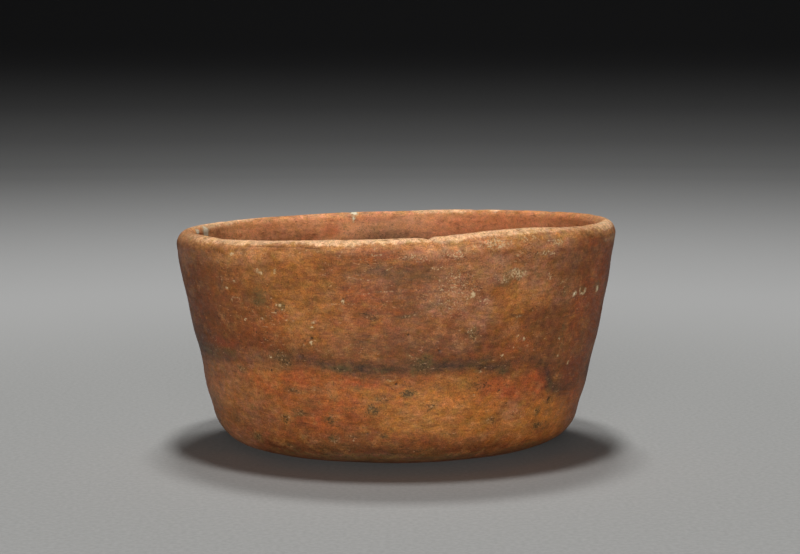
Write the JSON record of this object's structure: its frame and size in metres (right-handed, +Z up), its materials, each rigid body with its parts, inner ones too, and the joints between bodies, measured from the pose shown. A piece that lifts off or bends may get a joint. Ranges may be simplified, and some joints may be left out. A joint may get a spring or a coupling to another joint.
{
  "type": "cup",
  "caption": "Low round cup of hand-built fired clay, with a pressed rounded base, slightly flaring coiled wall and thick rolled rim.",
  "frame": {"origin": "middle of the flat foot, on the surface that the cup stands on", "axes": "+Z up along the cup's axis, -Y towards the front of the picture, +X to its right"},
  "size_m": [0.11, 0.11, 0.0571],
  "materials": {
    "orange_clay": "burnished, fired orange to brown",
    "red_brown_clay": "burnished, with grey-brown fire clouds",
    "worn_rim_clay": "burnish worn off, matt"
  },
  "bodies": {
    "root": {"base_pad": "orange_clay", "wall_coil_1": "orange_clay", "wall_coil_2": "red_brown_clay", "wall_coil_3": "red_brown_clay", "rim_coil": "worn_rim_clay"}
  },
  "joints": []
}
